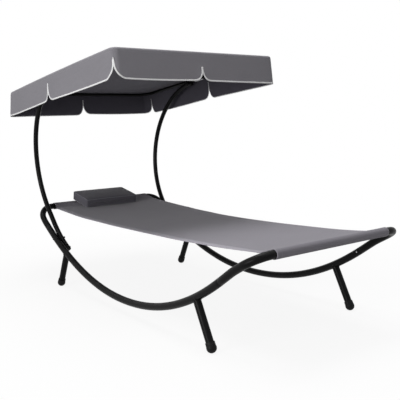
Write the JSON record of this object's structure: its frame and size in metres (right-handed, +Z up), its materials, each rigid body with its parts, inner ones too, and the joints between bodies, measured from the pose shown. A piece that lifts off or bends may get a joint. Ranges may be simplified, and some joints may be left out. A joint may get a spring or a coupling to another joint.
{
  "type": "sun lounger",
  "caption": "Sun lounger with a fabric sling between the ends of a curved tube frame, a head pillow, and a scalloped canopy that tilts on C-shaped poles.",
  "frame": {"origin": "on the floor under the middle of the bounding box", "axes": "+X towards the foot end, +Y to the left of a person lying on it, +Z up"},
  "size_m": [2.1716, 0.998, 1.2774],
  "materials": {
    "frame_paint": "satin black powder coat",
    "black_plastic": "moulded, fine grain",
    "zinc_steel": "zinc plated",
    "dark_steel": "black coated",
    "sling_fabric": "plain woven polyester, grey",
    "pillow_fabric": "plain woven polyester, dark grey",
    "canopy_fabric": "plain woven polyester, grey, with a white edge binding"
  },
  "bodies": {
    "frame": {"head_end_tube": "frame_paint", "foot_end_tube": "frame_paint", "side_rail_left": "frame_paint", "side_rail_right": "frame_paint", "rail_joiner_head_left": "zinc_steel", "joint_screw_head_left": "zinc_steel", "leg_head_left": "frame_paint", "ball_foot_head_left": "black_plastic", "rail_joiner_head_right": "zinc_steel", "joint_screw_head_right": "zinc_steel", "leg_head_right": "frame_paint", "ball_foot_head_right": "black_plastic", "rail_joiner_foot_left": "zinc_steel", "joint_screw_foot_left": "zinc_steel", "leg_foot_left": "frame_paint", "ball_foot_foot_left": "black_plastic", "rail_joiner_foot_right": "zinc_steel", "joint_screw_foot_right": "zinc_steel", "leg_foot_right": "frame_paint", "ball_foot_foot_right": "black_plastic", "sling": "sling_fabric", "canopy_pole_left": "frame_paint", "pole_cap_lower_left": "black_plastic", "pole_bolt_lower_left": "dark_steel", "pole_nut_lower_left": "dark_steel", "pole_spacer_lower_left": "black_plastic", "pole_cap_upper_left": "black_plastic", "pole_bolt_upper_left": "dark_steel", "pole_nut_upper_left": "dark_steel", "pole_spacer_upper_left": "black_plastic", "canopy_pole_right": "frame_paint", "pole_cap_lower_right": "black_plastic", "pole_bolt_lower_right": "dark_steel", "pole_nut_lower_right": "dark_steel", "pole_spacer_lower_right": "black_plastic", "pole_cap_upper_right": "black_plastic", "pole_bolt_upper_right": "dark_steel", "pole_nut_upper_right": "dark_steel", "pole_spacer_upper_right": "black_plastic"},
    "canopy": {"canopy_cloth": "canopy_fabric", "canopy_head_tube": "frame_paint", "canopy_foot_tube": "frame_paint", "canopy_joiner_left": "zinc_steel", "pivot_plate_left": "frame_paint", "tilt_bolt_left": "zinc_steel", "canopy_joiner_right": "zinc_steel", "pivot_plate_right": "frame_paint", "tilt_bolt_right": "zinc_steel"},
    "left_knob": {"tilt_knob_left": "black_plastic"},
    "right_knob": {"tilt_knob_right": "black_plastic"},
    "pillow": {"pillow": "pillow_fabric"}
  },
  "joints": [
    {"name": "canopy_tilt", "type": "hinge", "parent": "frame", "child": "canopy", "pos_m": [-0.51235, 0, 1.17555], "axis": [0, 1, 0], "range_deg": [-8, 24]},
    {"name": "left_knob_turn", "type": "hinge", "parent": "canopy", "child": "left_knob", "pos_m": [-0.51235, 0.4433, 1.17555], "axis": [0, 1, 0], "continuous": true},
    {"name": "right_knob_turn", "type": "hinge", "parent": "canopy", "child": "right_knob", "pos_m": [-0.51235, -0.4433, 1.17555], "axis": [0, -1, 0], "continuous": true},
    {"name": "pillow_lift", "type": "slide", "parent": "frame", "child": "pillow", "axis": [0, 0, 1], "range_m": [0, 0.25]}
  ]
}
